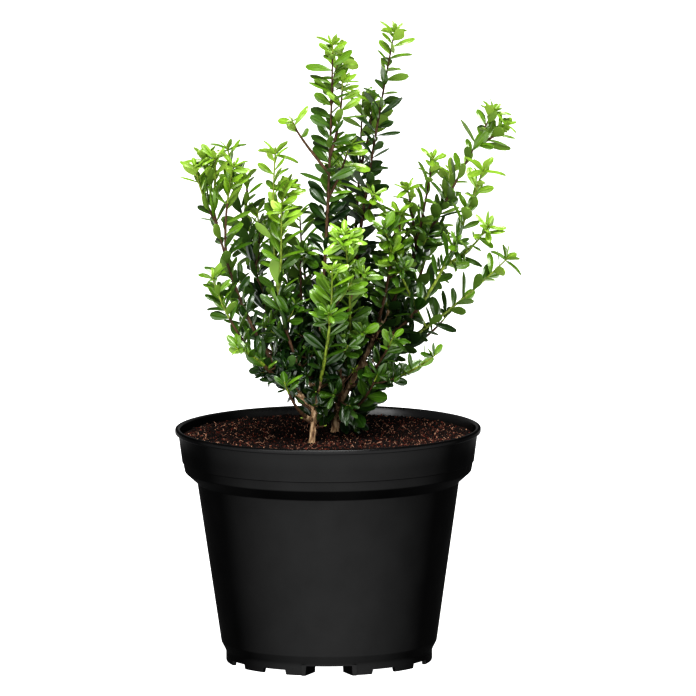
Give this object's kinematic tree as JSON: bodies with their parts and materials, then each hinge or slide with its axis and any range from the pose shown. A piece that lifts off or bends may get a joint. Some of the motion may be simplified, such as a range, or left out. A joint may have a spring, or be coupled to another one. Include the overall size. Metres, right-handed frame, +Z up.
{
  "type": "potted japanese holly",
  "caption": "Young evergreen shrub with small oval leaves on upright shoots from two stems, standing in a round black plastic nursery pot filled with potting soil.",
  "frame": {"origin": "on the pot's axis at the level that the pot stands on, at the middle pad under its base", "axes": "+Z up along the pot's axis, +X to the right in the front view, +Y to the back"},
  "size_m": [0.2154, 0.19, 0.3985],
  "materials": {
    "black_plastic": "satin black moulded plastic",
    "potting_soil": "loose dark red-brown potting mix of peat and bark",
    "bark": "thin grey-brown bark with fine fissures",
    "foliage": "glossy green leaves on green-brown twigs"
  },
  "bodies": {
    "root": {"bough_back_left": "bark", "bough_back_left_low": "bark", "bough_back_low": "bark", "bough_back_mid": "bark", "bough_back_mid_left": "bark", "bough_back_mid_right": "bark", "bough_back_right": "bark", "bough_back_right_low": "bark", "bough_centre": "bark", "bough_front_centre": "bark", "bough_front_left": "bark", "bough_front_low": "bark", "bough_left_centre": "bark", "bough_left_inner": "bark", "bough_left_low": "bark", "bough_left_outer": "bark", "bough_left_upper": "bark", "bough_low_left": "bark", "bough_low_right": "bark", "bough_right_centre": "bark", "bough_right_front_low": "bark", "bough_right_long": "bark", "bough_right_low": "bark", "bough_right_mid": "bark", "bough_right_outer": "bark", "foliage_back_left": "foliage", "foliage_back_left_low": "foliage", "foliage_back_low": "foliage", "foliage_back_mid": "foliage", "foliage_back_mid_left": "foliage", "foliage_back_mid_right": "foliage", "foliage_back_right": "foliage", "foliage_back_right_low": "foliage", "foliage_centre": "foliage", "foliage_front_centre": "foliage", "foliage_front_left": "foliage", "foliage_front_low": "foliage", "foliage_left_centre": "foliage", "foliage_left_inner": "foliage", "foliage_left_low": "foliage", "foliage_left_outer": "foliage", "foliage_left_top": "foliage", "foliage_left_upper": "foliage", "foliage_low_left": "foliage", "foliage_low_right": "foliage", "foliage_right_centre": "foliage", "foliage_right_front_low": "foliage", "foliage_right_long": "foliage", "foliage_right_low": "foliage", "foliage_right_mid": "foliage", "foliage_right_outer": "foliage", "foliage_right_top": "foliage", "pot": "black_plastic", "potting_soil": "potting_soil", "stem_left": "bark", "stem_right": "bark"}
  },
  "joints": []
}
